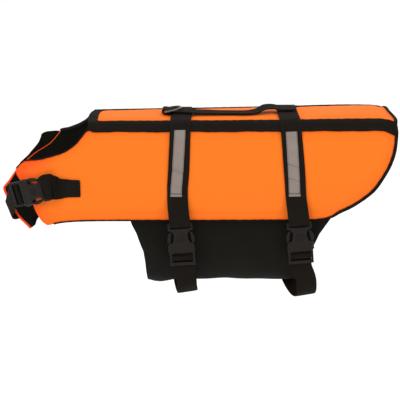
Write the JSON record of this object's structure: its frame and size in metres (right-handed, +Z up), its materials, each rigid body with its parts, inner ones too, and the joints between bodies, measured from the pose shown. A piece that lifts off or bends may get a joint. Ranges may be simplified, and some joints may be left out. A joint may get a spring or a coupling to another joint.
{
  "type": "dog life jacket",
  "caption": "Hollow padded dog life jacket with cut-away neck, under-belly panel, webbing girth straps with side-release buckles, reflective bands, a back handle and a leash ring.",
  "frame": {"origin": "the place on the lining's inner face over the spine, midway along the jacket, where the wearer's back carries it", "axes": "+X toward the tail, +Y toward the wearer's right, +Z up"},
  "size_m": [0.5083, 0.1642, 0.2501],
  "materials": {
    "orange_cloth": "bright orange woven nylon over foam, matt",
    "black_lining": "black woven polyester, matt",
    "black_webbing": "black ribbed webbing and binding tape",
    "reflective_band": "grey retroreflective band on cloth",
    "black_plastic": "moulded black plastic, fine grain",
    "plated_steel": "plated steel wire"
  },
  "bodies": {
    "jacket": {"back_panel": "orange_cloth", "side_panel_left": "orange_cloth", "side_panel_right": "orange_cloth", "back_lining": "black_lining", "side_lining_left": "black_lining", "side_lining_right": "black_lining", "belly_panel": "black_lining", "neck_facing_right": "black_lining", "seam_tape_left": "black_webbing", "seam_tape_right": "black_webbing", "rear_binding": "black_webbing", "neck_binding": "black_webbing", "hem_binding_left": "black_webbing", "hem_binding_right": "black_webbing", "girth_strap_front": "black_webbing", "girth_strap_rear": "black_webbing", "chest_strap_left": "black_webbing", "chest_strap_right": "black_webbing", "handle": "black_webbing", "leash_ring_tab": "black_webbing", "reflective_front_left": "reflective_band", "reflective_front_right": "reflective_band", "reflective_rear_left": "reflective_band", "reflective_rear_right": "reflective_band", "front_buckle_female": "black_plastic", "front_buckle_male": "black_plastic", "rear_buckle_female": "black_plastic", "rear_buckle_male": "black_plastic", "chest_buckle_female": "black_plastic", "chest_buckle_male": "black_plastic"},
    "leash_ring": {"leash_ring": "plated_steel"}
  },
  "joints": [
    {"name": "leash_ring_swing", "type": "hinge", "parent": "jacket", "child": "leash_ring", "pos_m": [-0.0905, -0.007, 0.00996], "axis": [0, -1, 0], "range_deg": [0, 165]}
  ]
}
